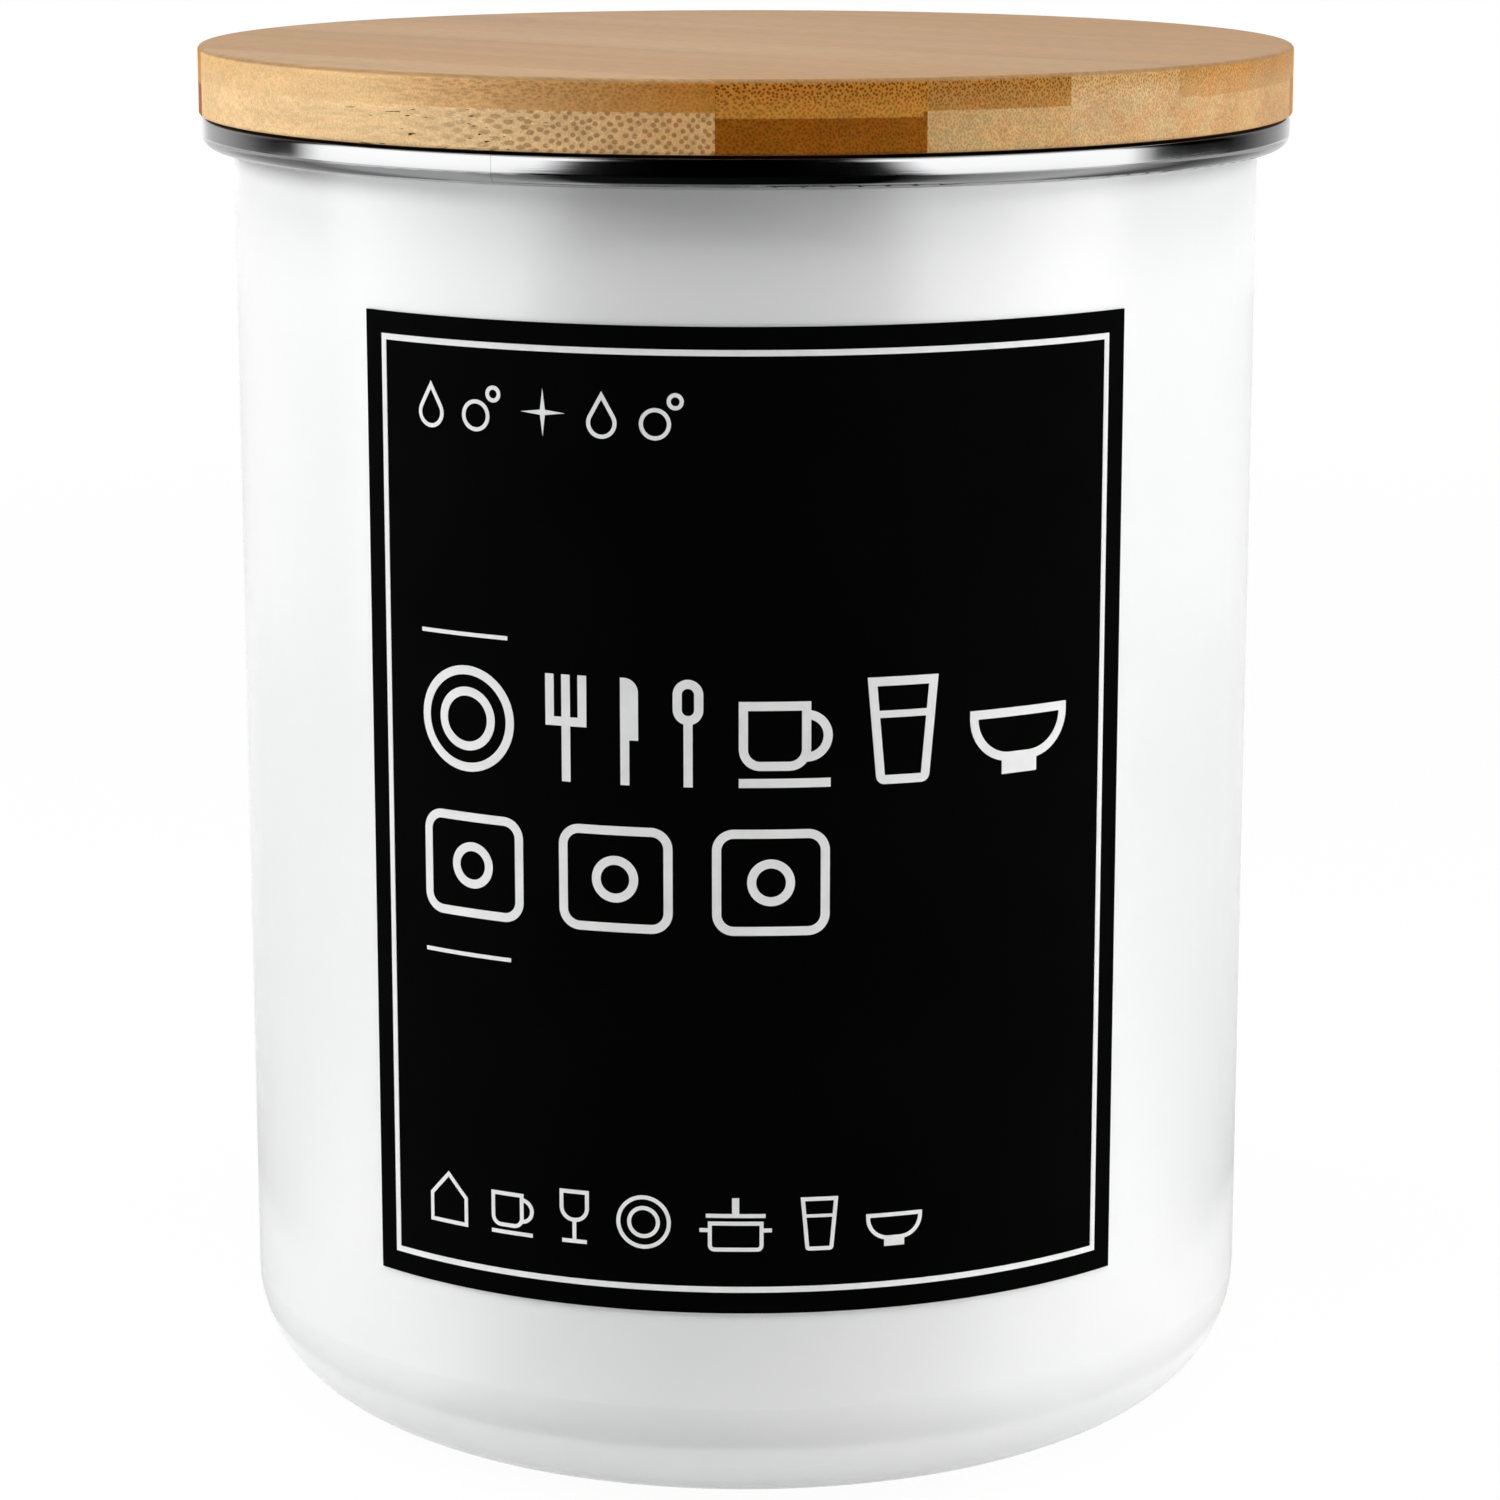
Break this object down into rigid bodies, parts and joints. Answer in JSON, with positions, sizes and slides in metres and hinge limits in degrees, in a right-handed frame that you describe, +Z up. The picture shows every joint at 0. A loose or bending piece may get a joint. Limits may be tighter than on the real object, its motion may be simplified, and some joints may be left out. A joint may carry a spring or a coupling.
{
  "type": "dishwasher tablet canister",
  "caption": "Round white enamelled steel canister with a polished steel rim, a push-in bamboo lid with a finned seal, and a black wrapped label.",
  "frame": {"origin": "centre of the base, on the surface that the canister stands on", "axes": "+Z up along the axis of the can, label on the -Y side, +X to the right of the label"},
  "size_m": [0.11, 0.11, 0.1386],
  "materials": {
    "white_enamel": "glossy vitreous enamel",
    "polished_steel": "mirror polished stainless steel",
    "black_vinyl": "satin self-adhesive vinyl",
    "white_ink": "matt printed ink",
    "bamboo": "oiled laminated bamboo",
    "silicone": "translucent food-grade silicone"
  },
  "bodies": {
    "canister": {"canister_body": "white_enamel", "rim_band": "polished_steel", "front_label": "black_vinyl", "label_print": "white_ink"},
    "lid": {"bamboo_lid": "bamboo", "lid_seal": "silicone"}
  },
  "joints": [
    {"name": "lid_lift", "type": "slide", "parent": "canister", "child": "lid", "axis": [0, 0, 1], "range_m": [0, 0.06]}
  ]
}
